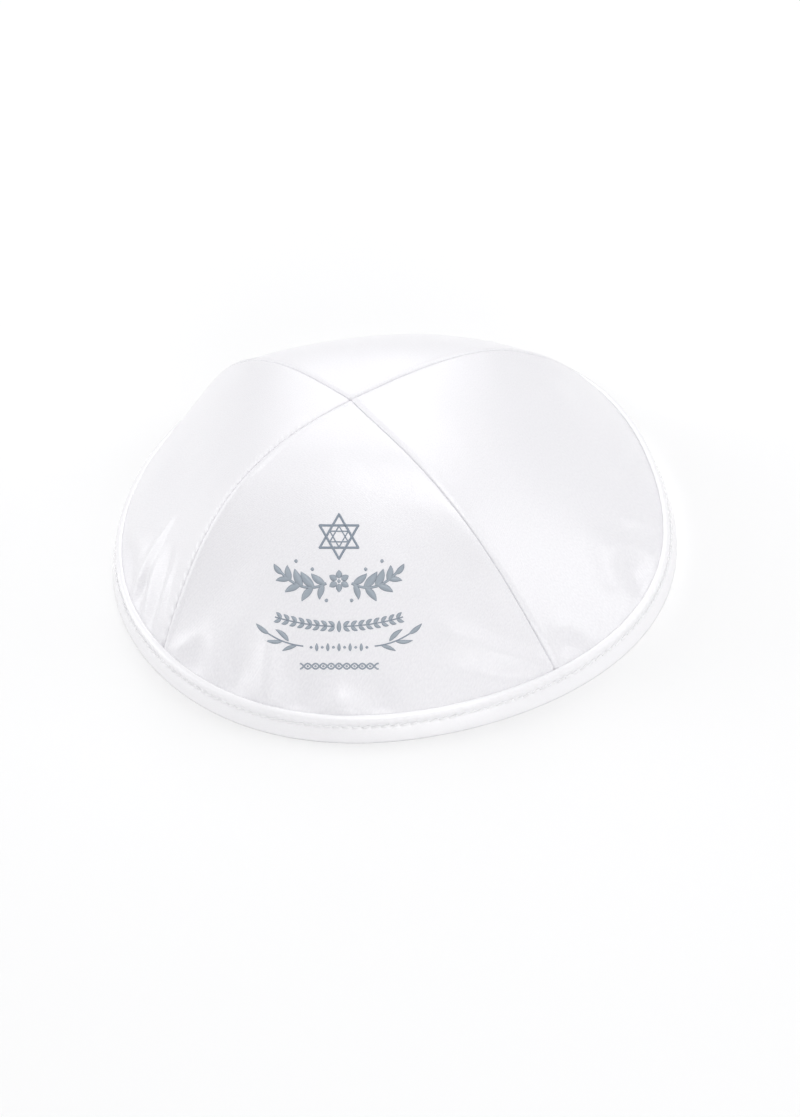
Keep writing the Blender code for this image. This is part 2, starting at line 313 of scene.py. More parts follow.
# A garland under the star with its flower and berries
GARLAND_STEM = ((0.0034, -0.0126), (0.0098, -0.0160), (0.0158, -0.0094))
GARLAND_POINTS = 40
GARLAND_LINE = 0.0007
GARLAND_SAG = 0.0003
GarlandLeaf = namedtuple("GarlandLeaf", "share turn length width")
GARLAND_LEAVES = (
    GarlandLeaf(share=0.02, turn=62, length=0.0047, width=0.0019),
    GarlandLeaf(share=0.04, turn=-50, length=0.0042, width=0.0017),
    GarlandLeaf(share=0.25, turn=56, length=0.0056, width=0.0022),
    GarlandLeaf(share=0.30, turn=-46, length=0.0048, width=0.0019),
    GarlandLeaf(share=0.52, turn=50, length=0.0052, width=0.0021),
    GarlandLeaf(share=0.57, turn=-44, length=0.0044, width=0.0018),
    GarlandLeaf(share=0.78, turn=42, length=0.0043, width=0.0018),
    GarlandLeaf(share=0.82, turn=-40, length=0.0037, width=0.0015),
    GarlandLeaf(share=0.98, turn=4, length=0.0036, width=0.0015),
)
BLOOM = (0.0, -0.0120)
BLOOM_PETALS = 6
BLOOM_REACH = 0.0030
BLOOM_PETAL = 0.0017
BLOOM_HOLLOW = 0.0007
BERRIES = ((0.0072, -0.0088), (0.0116, -0.0066), (0.0034, -0.0172))
BERRY = 0.0010

# A bowed laurel row, then beads and a braid. The start is a share of the row's step, and the
# reach, widths and dots are shares of the leaf's length or the row's height.
Row = namedtuple("Row", "half_length middle sag step height")
LAUREL = Row(half_length=0.0174, middle=-0.0242, sag=0.0026, step=0.00205, height=0.0013)
LAUREL_START = 0.6
LAUREL_LEAF = 0.0024
LAUREL_LEAF_REACH = 0.72
LAUREL_LEAF_WIDTH = 0.42
LAUREL_LEAF_SAG = 0.0002
LAUREL_STEM = 0.00034
BEADS = Row(half_length=0.0075, middle=-0.0298, sag=0.0, step=0.0015, height=0.0022)
BEAD_WIDTH = 0.40
BEAD_DOT = 0.36
BRAID = Row(half_length=0.0105, middle=-0.0349, sag=0.0, step=0.0042, height=0.00075)
BRAID_LINE = 0.00042
BRAID_DOT = 0.45
BRAID_DOT_WIDTH = 1.7

# Colours, linear
SATIN = (0.930, 0.923, 0.945, 1.0)
SATIN_SHADE = (0.765, 0.758, 0.788, 1.0)
BINDING_SATIN = (0.930, 0.925, 0.942, 1.0)
BINDING_SHADE = (0.885, 0.880, 0.900, 1.0)
THREAD = (0.90, 0.90, 0.91, 1.0)
PRINT_LINE = (0.235, 0.275, 0.330, 1.0)
PRINT_FILL = (0.330, 0.375, 0.425, 1.0)
FLOOR = (0.89, 0.89, 0.89, 1.0)
STUDIO = (0.985, 0.985, 1.0, 1.0)
STUDIO_STRENGTH = 0.31

# The lighter spots of the print, times its colour
FILM_MOTTLE = 1.08

# The weave is drawn in millimetres. Its grain is stretched along and across the threads, which
# have a share in the relief. The relief's depth is in metres.
WEAVE_SCALE = (1000, 1000, 1000)
WEAVE_STRETCH = (1.5, 2.6, 1)
WEAVE_THREADS = 0.35
WEAVE_RELIEF = 0.00005

# Sockets of a colour mix, which share their names with others
MIX_FACTOR = 0
MIX_FIRST = 6
MIX_SECOND = 7
MIX_RESULT = 2

# Square lamps that all aim at the cap: metres and watts
Lamp = namedtuple("Lamp", "name place size power")
LAMPS = (
    Lamp("overhead", place=(0.02, -0.15, 1.3), size=0.45, power=5.4),
    Lamp("back", place=(0.0, 1.1, 0.75), size=0.8, power=2.3),
    Lamp("back_right", place=(0.35, 0.8, 1.0), size=0.9, power=3.6),
    Lamp("left", place=(-1.0, 0.4, 0.47), size=0.8, power=4.8),
    Lamp("right", place=(1.0, 0.0, 0.6), size=0.8, power=3.0),
    Lamp("front_top", place=(0.1, -0.8, 1.0), size=0.7, power=0.6),
    Lamp("front", place=(0.1, -1.2, 0.32), size=0.8, power=4.7),
)
LAMP_TARGET = Vector((0, 0, 0.02))

# The camera, round the crown's top, from the photograph
CAMERA_ELEVATION = math.radians(40.66)
CAMERA_ROLL = math.radians(-7.36)
CAMERA_DISTANCE = 0.7012
CAMERA_ASIDE = 0.00895
CAMERA_RAISED = -0.00669
CAMERA_LENS = 77.0


def rim_radius(azimuth):
    """Distance from the crown's top out to the binding's upper edge, seen from above."""
    waves = (w.height * np.cos(w.count * (azimuth - math.radians(w.crest))) for w in RIM_WAVES)
    return RIM_RADIUS * (1 + sum(waves))


def seam_azimuth(seam, down):
    """A seam's azimuth at a share down. It bows sideways, the most when halfway down."""
    return math.radians(seam.azimuth) + 4 * seam.bow * (1 - down)


def polar(azimuth, radius, height):
    """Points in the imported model's frame from places round the crown's top."""
    azimuth, radius, height = np.broadcast_arrays(azimuth, radius, height)
    x = CROWN_TOP.x + radius * np.cos(azimuth)
    y = CROWN_TOP.y + radius * np.sin(azimuth)
    return np.stack([x, y, height], axis=-1)


def rim_place(azimuth, along, out):
    """Points of the binding: along its slope from the upper edge, and out from the gores."""
    radius = rim_radius(azimuth) + along * math.cos(BINDING_SLOPE) + out * math.sin(BINDING_SLOPE)
    height = RIM_HEIGHT - along * math.sin(BINDING_SLOPE) + out * math.cos(BINDING_SLOPE)
    return polar(azimuth, radius, height)


def find_crown_top():
    """The upright through the crown's top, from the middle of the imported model's outline."""
    azimuth = np.linspace(0, 2 * math.pi, OUTLINE_STEPS + 1)
    hem = BINDING_WIDEST * BINDING_WIDTH
    reach = rim_radius(azimuth) + hem * math.cos(BINDING_SLOPE) + BINDING_FRONT * math.sin(BINDING_SLOPE)
    x = reach * np.cos(azimuth)
    y = reach * np.sin(azimuth)
    lowest, highest = CAD_BOX
    middle = (Vector(lowest) + Vector(highest)) / 2
    return Vector((middle.x - (x.min() + x.max()) / 2, middle.y - (y.min() + y.max()) / 2, 0))


CROWN_TOP = find_crown_top()


def crown_profile(turn, opening, azimuth, down):
    """Radius and height of the crown at an angle into a gore and a share down.

    Seen from above, it is squarest halfway down, with its corners on the seams.
    """
    angle = (turn / opening - 0.5) * math.pi / 2
    squared = 1 - math.cos(math.pi / 4) / np.cos(angle)
    radius = down * rim_radius(azimuth) * (1 - SQUARENESS * 4 * down * (1 - down) * squared)
    height = RIM_HEIGHT + CROWN_RISE * (1 - down ** PROFILE_POWER)
    return np.broadcast_arrays(radius, height)


def even_rows():
    """Shares down at even steps along the cloth, and the cloth's length."""
    fine = np.linspace(0, 1, PROFILE_STEPS)
    radius = fine * RIM_RADIUS
    height = CROWN_RISE * (1 - fine ** PROFILE_POWER)
    length = np.concatenate([[0], np.cumsum(np.hypot(np.diff(radius), np.diff(height)))])
    return np.interp(np.linspace(0, length[-1], CROWN_ROWS), length, fine), length[-1]


def column_places(width):
    """Distances across each row of a gore, close together beside its seams."""
    edge = np.array(EDGE_COLUMNS)
    squeeze = np.minimum(1, EDGE_SHARE * width / edge[-1])
    left = edge[None, :] * squeeze[:, None]
    inner = np.linspace(0, 1, MIDDLE_COLUMNS + 1)[1:-1]
    start = left[:, -1:]
    middle = start + inner[None, :] * (width[:, None] - 2 * start)
    return np.concatenate([left, middle, (width[:, None] - left)[:, ::-1]], axis=1)


def ridge_lift(ridges, azimuth, down, cloth_length):
    """Lift of the gathered ridges: a smooth crest along each bent line."""
    lift = np.zeros_like(azimuth)
    x = azimuth * RIM_RADIUS
    y = down * cloth_length
    for ridge in ridges:
        best = np.full_like(azimuth, np.inf)
        place = np.zeros_like(azimuth)
        for t in np.linspace(0, 1, RIDGE_POINTS):
            bend = ((1 - t) ** 2, 2 * t * (1 - t), t ** 2)
            points = (ridge.start, ridge.middle, ridge.end)
            near_x = sum(b * math.radians(p[0]) for b, p in zip(bend, points)) * RIM_RADIUS
            near_y = sum(b * p[1] for b, p in zip(bend, points)) * cloth_length
            gap = np.hypot(x - near_x, y - near_y)
            place = np.where(gap < best, t, place)
            best = np.minimum(best, gap)
        fade = RIDGE_FADE + (1 - RIDGE_FADE) * np.sin(math.pi * place)
        lift += ridge.height * fade * np.exp(-(best / ridge.width) ** 2)
    return lift


def swell_lift(azimuth, down):
    """Lift of the broad hollows and swells."""
    lift = np.zeros_like(azimuth)
    for swell in SWELLS:
        across = (np.degrees(azimuth) - swell.azimuth) / swell.half_width
        along = (down - swell.down) / swell.half_length
        lift += swell.height * np.exp(-across ** 2 - along ** 2)
    return lift


def noise_at(points, waves, start=(0, 0, 0)):
    """Smooth noise at points of the cap, with so many waves to the metre."""
    offset = Vector(start)
    flat = [noise.noise(Vector(point) * waves + offset) for point in points.reshape(-1, 3)]
    return np.array(flat).reshape(points.shape[:-1])


def seam_relief(seam, side, distance, down, cloth_length):
    """Groove, dip, allowance step and puckers of the cloth beside one seam."""
    sewing = SEWING[seam]
    relief = -SEAM_GROOVE * np.exp(-distance / SEAM_GROOVE_WIDTH)
    relief -= SEAM_DIP * np.exp(-(distance / SEAM_DIP_WIDTH) ** 2)
    if side == sewing.step_side:
        share = distance / sewing.step_width
        fall = np.clip((1 - share) / (1 - STEP_CREST), 0, 1)
        relief += sewing.step_height * np.minimum(share / STEP_CREST, fall)
    if side == sewing.pucker_side:
        phase = down * cloth_length / STITCH_PITCH * 2 * math.pi
        reach = np.exp(-(distance / PUCKER_REACH) ** 2)
        pull = ((1 + np.cos(phase)) / 2) ** 2
        relief -= sewing.pucker * pull * reach * np.minimum(1, down / PUCKER_FULL)
    return relief


def crown_normals(turn, opening, azimuth, down):
    """How far a step out of the cloth leads outward and upward."""
    above = crown_profile(turn, opening, azimuth, np.clip(down - SLOPE_STEP, 0, None))
    below = crown_profile(turn, opening, azimuth, down + SLOPE_STEP)
    slope_radius = below[0] - above[0]
    slope_height = below[1] - above[1]
    size = np.hypot(slope_radius, slope_height)
    return -slope_height / size, slope_radius / size


def gore_grid(first, second, ridges):
    """Outer and inner points of a gore, and its cloth coordinates."""
    down_row, cloth_length = even_rows()
    down = down_row[:, None]
    start = seam_azimuth(first, down)
    opening = (seam_azimuth(second, down) - start) % (2 * math.pi)
    middle_azimuth = start + opening / 2
    width = (opening * down * rim_radius(middle_azimuth))[:, 0]
    width_kept = np.maximum(width, NARROWEST)
    across = column_places(width_kept)
    turn = across / width_kept[:, None] * opening
    azimuth = start + turn
    down_all = np.broadcast_to(down, turn.shape)
    radius, height = crown_profile(turn, opening, azimuth, down_all)
    normal_radius, normal_height = crown_normals(turn, opening, azimuth, down_all)

    held = np.clip((1 - down_all) / HELD_BY_BINDING, 0, 1)
    lift = ridge_lift(ridges, azimuth, down_all, cloth_length) * held
    lift += swell_lift(azimuth, down_all) * held
    smooth = polar(azimuth, radius, height)
    for drift in CLOTH_DRIFTS:
        lift += drift.height * noise_at(smooth, drift.waves) * held
    lift += seam_relief(first, 1, across, down_all, cloth_length)
    lift += seam_relief(second, -1, width[:, None] - across, down_all, cloth_length)

    outer = polar(azimuth, radius + lift * normal_radius, height + lift * normal_height)
    back = np.minimum(lift, 0) * BACK_SHARE - CLOTH_THICKNESS
    inner = polar(azimuth, radius + back * normal_radius, height + back * normal_height)
    cloth = np.stack([(turn - opening / 2) * radius, down_all * cloth_length], axis=-1)

    rim_azimuth = azimuth[-1:]
    for depth in HEM_ROWS:
        outer = np.concatenate([outer, rim_place(rim_azimuth, depth, 0.0)])
        inner = np.concatenate([inner, rim_place(rim_azimuth, depth, -CLOTH_THICKNESS)])
        cloth = np.concatenate([cloth, cloth[-1:] + np.array([0, depth])])
    return outer, inner, cloth


def link_piece(name, data, slot, *nodes):
    """Put a finished mesh in the scene as a piece of the cap, in place of the nodes given."""
    piece = bpy.data.objects.new(name, data)
    bpy.context.scene.collection.objects.link(piece)
    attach(piece, "root")
    if nodes:
        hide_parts(*nodes)
    return piece


def finished_mesh(name, mesh):
    """Mesh data from finished faces, shaded smooth."""
    data = bpy.data.meshes.new(name)
    mesh.to_mesh(data)
    mesh.free()
    data.shade_smooth()
    return data


def unit_grid(rows, columns):
    """A flat grid one metre square, whose vertices tell their row and column."""
    mesh = bmesh.new()
    bmesh.ops.create_grid(mesh, x_segments=columns, y_segments=rows, size=0.5)
    return mesh


def grid_mesh(name, mesh, layers, cloth):
    """A flat grid or slab whose vertices move to their points: a layer of them for each level."""
    rows, columns = cloth.shape[0] - 1, cloth.shape[1] - 1
    mesh.verts.index_update()
    places = [(round((v.co.y + 0.5) * rows), round((v.co.x + 0.5) * columns)) for v in mesh.verts]
    uv = mesh.loops.layers.uv.new("cloth")
    for face in mesh.faces:
        for loop in face.loops:
            loop[uv].uv = cloth[places[loop.vert.index]]
    for vertex in mesh.verts:
        vertex.co = layers[round(vertex.co.z)][places[vertex.index]]
    bmesh.ops.remove_doubles(mesh, verts=mesh.verts, dist=WELD_DISTANCE)
    bmesh.ops.recalc_face_normals(mesh, faces=mesh.faces)
    return finished_mesh(name, mesh)


def slab_mesh(name, outer, inner, cloth):
    """A sheet with two faces and its edges closed."""
    mesh = unit_grid(outer.shape[0] - 1, outer.shape[1] - 1)
    backing = bmesh.ops.extrude_face_region(mesh, geom=mesh.faces[:])
    moved = [item for item in backing["geom"] if isinstance(item, bmesh.types.BMVert)]
    bmesh.ops.translate(mesh, verts=moved, vec=(0, 0, 1))
    data = grid_mesh(name, mesh, (outer, inner), cloth)
    data.set_sharp_from_angle(angle=SHARP_EDGE)
    return data


def smooth_section():
    """The binding's section as a closed curve through its corners."""
    corners = np.array([(c.along * BINDING_WIDTH, c.out * BINDING_FRONT) for c in BINDING_SECTION])
    before, after, beyond = np.roll(corners, 1, 0), np.roll(corners, -1, 0), np.roll(corners, -2, 0)
    points = []
    for t in np.arange(SECTION_STEPS) / SECTION_STEPS:
        bend = 2 * corners + (after - before) * t
        bend += (2 * before - 5 * corners + 4 * after - beyond) * t ** 2
        bend += (3 * corners - before - 3 * after + beyond) * t ** 3
        points.append(bend / 2)
    return np.stack(points, axis=1).reshape(-1, 2)


def rim_lengths():
    """Azimuths round the rim and the length of the stitch line up to each."""
    azimuth = np.linspace(0, 2 * math.pi, FINE_STEPS + 1)
    points = rim_place(azimuth, STITCH_LINE * BINDING_WIDTH, BINDING_FRONT)
    steps = np.linalg.norm(np.diff(points, axis=0), axis=1)
    return azimuth, np.concatenate([[0], np.cumsum(steps)])


def zone_share(zone, along):
    """How much of a zone's movement each place across the binding takes."""
    return np.exp(-((along - zone.along * BINDING_WIDTH) / zone.width) ** 2)


def build_binding(material):
    """The folded strip: a puffed roll, a stitched groove and a flat hem, pulled by its stitches."""
    azimuth_fine, length_fine = rim_lengths()
    count = round(length_fine[-1] / STITCH_PITCH)
    azimuth = np.linspace(0, 2 * math.pi, BINDING_STEPS + 1)
    phase = np.interp(azimuth, azimuth_fine, length_fine) / length_fine[-1] * count * 2 * math.pi
    section = smooth_section()
    along, out = section[:, 0][None, :], section[:, 1][None, :]
    edge = rim_place(azimuth, 0, 0)
    slow = noise_at(edge, SLOW_WAVES)[:, None]
    fine = noise_at(edge, FINE_WAVES, FINE_START)[:, None]
    pull = np.cos(phase)[:, None]
    pit = np.clip(-pull, 0, 1) ** PIT_POWER

    front = np.clip(out / BINDING_FRONT, 0, 1)
    rise = 0
    for zone in (ROLL, GROOVE, HEM):
        move = zone.slow * slow + zone.fine * fine + zone.pull * pull + zone.pit * pit
        rise = rise + zone_share(zone, along) * front * move
    shift = zone_share(ROLL, along) * front * (ROLL_PULL_SHIFT * pull + ROLL_SLOW_SHIFT * slow)
    points = rim_place(azimuth[:, None], along + shift, out + rise)
    points[..., 2] = np.maximum(points[..., 2], 0)
    points = np.concatenate([points, points[:, :1]], axis=1)

    around = np.interp(azimuth, azimuth_fine, length_fine)
    across = np.concatenate([[0], np.cumsum(np.linalg.norm(np.diff(points[0], axis=0), axis=1))])
    cloth = np.stack(np.meshgrid(around, across, indexing="ij"), axis=-1)
    mesh = unit_grid(points.shape[0] - 1, points.shape[1] - 1)
    data = grid_mesh("binding", mesh, (points,), cloth)
    data.materials.append(material)
    link_piece("binding", data, "binding_satin", "rim_binding")


def add_tube(mesh, path, radii, sides=6):
    """A round thread along a path, closed at both ends."""
    rings = []
    for index, point in enumerate(path):
        ahead = path[min(index + 1, len(path) - 1)]
        behind = path[max(index - 1, 0)]
        turn = (ahead - behind).to_track_quat("Z", "Y").to_matrix()
        ring = []
        for side in range(sides):
            angle = 2 * math.pi * side / sides
            offset = turn @ Vector((math.cos(angle), math.sin(angle), 0)) * radii[index]
            ring.append(mesh.verts.new(point + offset))
        rings.append(ring)
    for ring, following in zip(rings, rings[1:]):
        for side in range(sides):
            corner = (side + 1) % sides
            mesh.faces.new((ring[side], ring[corner], following[corner], following[side]))
    mesh.faces.new(rings[0][::-1])
    mesh.faces.new(rings[-1])


def added_piece(name, mesh, material, slot):
    """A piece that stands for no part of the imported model."""
    data = finished_mesh(name, mesh)
    data.materials.append(material)
    link_piece(name, data, slot)


def build_rim_stitches(material):
    """The row of stitches that holds the binding, one short arched thread for each."""
    azimuth_fine, length_fine = rim_lengths()
    count = round(length_fine[-1] / STITCH_PITCH)
    pitch = length_fine[-1] / count
    mesh = bmesh.new()
    for index in range(count):
        path = []
        for t in STITCH_POINTS:
            length = ((index + STITCH_HALF_LENGTH * t) * pitch) % length_fine[-1]
            azimuth = np.interp(length, length_fine, azimuth_fine)
            along = (STITCH_LINE - STITCH_SLANT * t) * BINDING_WIDTH
            out = STITCH_SEAT * BINDING_FRONT + STITCH_ARCH * (1 - t * t) - STITCH_SINK
            path.append(Vector(rim_place(azimuth, along, out)))
        add_tube(mesh, path, [THREAD_RADIUS * taper for taper in STITCH_TAPER])
    added_piece("rim_stitches", mesh, material, "binding_satin")


class PrintedCloth:
    """The front gore as the print sees it: points of a flat drawing, laid on the cloth."""

    def __init__(self, gore):
        data = gore.data
        corners = [vertex.co.copy() for vertex in data.vertices]
        self.tree = BVHTree.FromPolygons(corners, [face.vertices[:] for face in data.polygons])
        self.source = camera_place()
        self.right, self.up, _ = camera_axes()
        azimuth = math.radians(PRINT_AZIMUTH)
        radius, height = crown_profile(1, 2, azimuth, PRINT_DOWN)
        self.middle = Vector(polar(azimuth, radius, height))

    def place(self, point, height):
        """The point where a line of sight through the drawing meets the cloth, raised off it."""
        target = self.middle + self.right * point.x + self.up * point.y
        hit, normal, _, _ = self.tree.ray_cast(self.source, target - self.source)
        return hit + normal * height


def add_film(mesh, cloth, path, widths, height):
    """A strip of print along a path, with its edges sunk a little into the cloth."""
    rows = []
    for index, point in enumerate(path):
        ahead = path[min(index + 1, len(path) - 1)] - path[max(index - 1, 0)]
        side = Vector((-ahead.y, ahead.x)).normalized() * widths[index] / 2
        across = ((1, -FILM_HEIGHT), (1, height), (0, height), (-1, height), (-1, -FILM_HEIGHT))
        rows.append([mesh.verts.new(cloth.place(point + side * share, lift)) for share, lift in across])
    for row, following in zip(rows, rows[1:]):
        for index in range(len(row) - 1):
            mesh.faces.new((row[index], row[index + 1], following[index + 1], following[index]))


def line_stroke(start, end, width):
    """A straight line with round ends."""
    start, end = Vector(start), Vector(end)
    length = (end - start).length
    along = (end - start) / length
    cap = width / 2
    caps = [(-cap * k, width * math.sqrt(1 + CAP_TIP - k * k)) for k in CAP_PLACES]
    middle = [(d, width) for d in np.linspace(0, length, max(2, round(length / PRINT_STEP)))]
    ends = [(length - d, w) for d, w in reversed(caps)]
    places = caps + middle + ends
    return [start + along * d for d, _ in places], [w for _, w in places]


def leaf_stroke(base, tip, sag, width):
    """A leaf: pointed at both ends, widest before its middle, and bent to one side."""
    base, tip = Vector(base), Vector(tip)
    along = tip - base
    side = Vector((-along.y, along.x)).normalized() * sag
    shares = np.linspace(0, 1, max(LEAF_POINTS, round(along.length / PRINT_STEP * 2)))
    path = [base + along * t + side * 4 * t * (1 - t) for t in shares]
    swell = [math.sin(math.pi * t ** LEAF_LEAN) ** LEAF_FULLNESS for t in shares]
    return path, [width * max(LEAF_TIP, share) for share in swell]


def star_strokes(radius, width):
    """Two triangles, each of three lines."""
    strokes = []
    for first in (90, -90):
        tips = [math.radians(first + 120 * k) for k in range(3)]
        tips = [(radius * math.cos(tip), radius * math.sin(tip)) for tip in tips]
        strokes += [line_stroke(tips[k - 1], tips[k], width) for k in range(3)]
    return strokes


def mirrored(strokes):
    """The strokes and their mirror images across the print's upright middle."""
    flipped = [([Vector((-p.x, p.y)) for p in path], widths) for path, widths in strokes]
    return strokes + flipped


def bead_strokes(row):
    """A level row of upright lozenges with a dot between each two."""
    strokes = []
    count = round(row.half_length / row.step)
    for index in range(-count, count + 1):
        x = index * row.step
        lozenge = index % 2 == 0
        tall = row.height if lozenge else row.height * BEAD_DOT
        width = row.height * (BEAD_WIDTH if lozenge else BEAD_DOT)
        strokes.append(leaf_stroke((x, row.middle - tall / 2), (x, row.middle + tall / 2), 0, width))
    return strokes


def laurel_strokes(row):
    """The right half of a bowed stem with a pair of leaves at each step, pointing outward."""
    def place(x):
        return Vector((x, row.middle + row.sag * (x / row.half_length) ** 2))

    start = row.step * LAUREL_START
    path = [place(x) for x in np.arange(start, row.half_length, PRINT_STEP)]
    strokes = [(path, [LAUREL_STEM] * len(path))]
    for x in np.arange(start, row.half_length - row.step / 2, row.step):
        along = (place(x + PRINT_STEP) - place(x)).normalized()
        side = Vector((-along.y, along.x))
        for turn in (1, -1):
            tip = place(x) + along * LAUREL_LEAF * LAUREL_LEAF_REACH + side * turn * row.height
            width = LAUREL_LEAF * LAUREL_LEAF_WIDTH
            strokes.append(leaf_stroke(place(x), tip, turn * LAUREL_LEAF_SAG, width))
    return strokes


def braid_strokes(row):
    """Two waving lines that cross, with a dot in each opening."""
    xs = np.arange(-row.half_length, row.half_length + PRINT_STEP / 2, PRINT_STEP)
    wave = row.height * np.cos(2 * math.pi * xs / row.step)
    strokes = []
    for turn in (1, -1):
        path = [Vector((x, row.middle + turn * y)) for x, y in zip(xs, wave)]
        strokes.append((path, [BRAID_LINE] * len(path)))
    count = round(row.half_length / row.step * 2)
    dot = row.height * BRAID_DOT
    for index in range(-count + 1, count):
        x = index * row.step / 2
        ends = (x - dot, row.middle), (x + dot, row.middle)
        strokes.append(leaf_stroke(*ends, 0, dot * BRAID_DOT_WIDTH))
    return strokes


def bent_path(start, bend, end, count):
    """Points along a curve that leaves its start towards the bend and arrives from it."""
    start, bend, end = Vector(start), Vector(bend), Vector(end)
    shares = np.linspace(0, 1, count)
    return [start * (1 - t) ** 2 + bend * 2 * t * (1 - t) + end * t ** 2 for t in shares]


def dot_stroke(spot, size):
    """A small plump dot."""
    half = Vector((size / 2, 0))
    return leaf_stroke(Vector(spot) - half, Vector(spot) + half, 0, size)


def garland_strokes():
    """The right half of the garland: a stem that rises outward, its leaves and its berries."""
    path = bent_path(*GARLAND_STEM, GARLAND_POINTS)
    strokes = [(path, [GARLAND_LINE] * len(path))]
    for leaf in GARLAND_LEAVES:
        index = round(leaf.share * (len(path) - 2))
        along = (path[index + 1] - path[index]).normalized()
        angle = math.atan2(along.y, along.x) + math.radians(leaf.turn)
        tip = path[index] + Vector((math.cos(angle), math.sin(angle))) * leaf.length
        sag = math.copysign(GARLAND_SAG, -leaf.turn)
        strokes.append(leaf_stroke(path[index], tip, sag, leaf.width))
    return strokes + [dot_stroke(spot, BERRY) for spot in BERRIES]


def bloom_strokes():
    """A small flower of plain petals round a dot."""
    middle = Vector(BLOOM)
    strokes = [dot_stroke(BLOOM, BERRY)]
    for index in range(BLOOM_PETALS):
        angle = math.pi / 2 + 2 * math.pi * index / BLOOM_PETALS
        out = Vector((math.cos(angle), math.sin(angle)))
        ends = middle + out * BLOOM_HOLLOW, middle + out * BLOOM_REACH
        strokes.append(leaf_stroke(*ends, 0, BLOOM_PETAL))
    return strokes


def sprig_strokes():
    """The right sprig: a stem and its leaves."""
    path = bent_path(*SPRIG_STEM, SPRIG_POINTS)
    stem = (path, [STEM_WIDTH] * len(path))
    leaves = [leaf_stroke(*leaf) for leaf in SPRIG_LEAVES]
    return [stem] + leaves


def build_print(gore, line_material, fill_material):
    """The grey film on the front gore: a darker outline under a lighter fill."""
    cloth = PrintedCloth(gore)
    thin = star_strokes(STAR_RADIUS, STAR_LINE) + star_strokes(INNER_STAR_RADIUS, INNER_STAR_LINE)
    broad = bloom_strokes() + mirrored(garland_strokes()) + mirrored(sprig_strokes())
    broad += mirrored(laurel_strokes(LAUREL))
    broad += bead_strokes(BEADS) + braid_strokes(BRAID) + [leaf_stroke(*CENTRE_LEAF)]

    outline = bmesh.new()
    for index, (path, widths) in enumerate(thin + broad):
        height = FILM_HEIGHT + FILM_STAGGER * (index % STAGGER_LEVELS)
        add_film(outline, cloth, path, widths, height)
    added_piece("print_outline", outline, line_material, "print_ink")

    fill = bmesh.new()
    for index, (path, widths) in enumerate(broad):
        inner = [max(THINNEST_FILL, width - 2 * OUTLINE_WIDTH) for width in widths]
        if max(inner) > OUTLINE_WIDTH:
            height = FILL_HEIGHT + FILM_STAGGER * (index % STAGGER_LEVELS)
            add_film(fill, cloth, path, inner, height)
    added_piece("print_fill", fill, fill_material, "print_ink")


def set_inputs(node, inputs):
    """Set a node's sockets, by their names or numbers."""
    for socket, value in inputs.items():
        node.inputs[socket].default_value = value


def new_material(name, inputs):
    """A material and its shader, with the shader's sockets set."""
    material = bpy.data.materials.new(name)
    material.use_nodes = True
    shader = material.node_tree.nodes["Principled BSDF"]
    set_inputs(shader, inputs)
    return material, shader


def add_node(material, kind, inputs=None, **settings):
    """A node of a material, with its settings and sockets set."""
    node = material.node_tree.nodes.new(kind)
    for key, value in settings.items():
        setattr(node, key, value)
    set_inputs(node, inputs or {})
    return node


def satin_material(name, light, shade, roughness, grain_angle):
    """Satin: fine slanting threads, a soft sheen and a faint unevenness of tone."""
    material, shader = new_material(name, {
        "Base Color": light,
        "Roughness": roughness,
        "Specular IOR Level": 0.78,
        "Sheen Weight": 0.15,
        "Sheen Roughness": 0.4,
    })
    links = material.node_tree.links
    place = add_node(material, "ShaderNodeUVMap", uv_map="cloth")
    slant = {"Rotation": (0, 0, grain_angle), "Scale": WEAVE_SCALE}
    turn = add_node(material, "ShaderNodeMapping", slant)
    links.new(place.outputs["UV"], turn.inputs["Vector"])

    stretch = add_node(material, "ShaderNodeMapping", {"Scale": WEAVE_STRETCH})
    links.new(turn.outputs["Vector"], stretch.inputs["Vector"])
    grain = add_node(material, "ShaderNodeTexNoise", {"Scale": 1.0, "Detail": 3.0})
    links.new(stretch.outputs["Vector"], grain.inputs["Vector"])

    bands = {"Scale": 0.62, "Distortion": 1.5, "Detail": 1.0}
    threads = add_node(material, "ShaderNodeTexWave", bands, wave_type="BANDS", bands_direction="Y")
    links.new(turn.outputs["Vector"], threads.inputs["Vector"])

    tone = add_node(material, "ShaderNodeMix", {MIX_FIRST: shade, MIX_SECOND: light}, data_type="RGBA")
    links.new(grain.outputs["Fac"], tone.inputs[MIX_FACTOR])
    links.new(tone.outputs[MIX_RESULT], shader.inputs["Base Color"])

    height = add_node(material, "ShaderNodeMath", {1: WEAVE_THREADS}, operation="MULTIPLY_ADD")
    links.new(threads.outputs["Fac"], height.inputs[0])
    links.new(grain.outputs["Fac"], height.inputs[2])
    bump = add_node(material, "ShaderNodeBump", {"Strength": 0.8, "Distance": WEAVE_RELIEF})
    links.new(height.outputs["Value"], bump.inputs["Height"])
    links.new(bump.outputs["Normal"], shader.inputs["Normal"])
    return material


def thread_material():
    """Thread for the rim's stitches."""
    look = {"Base Color": THREAD, "Roughness": 0.5, "Sheen Weight": 0.2}
    return new_material("thread", look)[0]


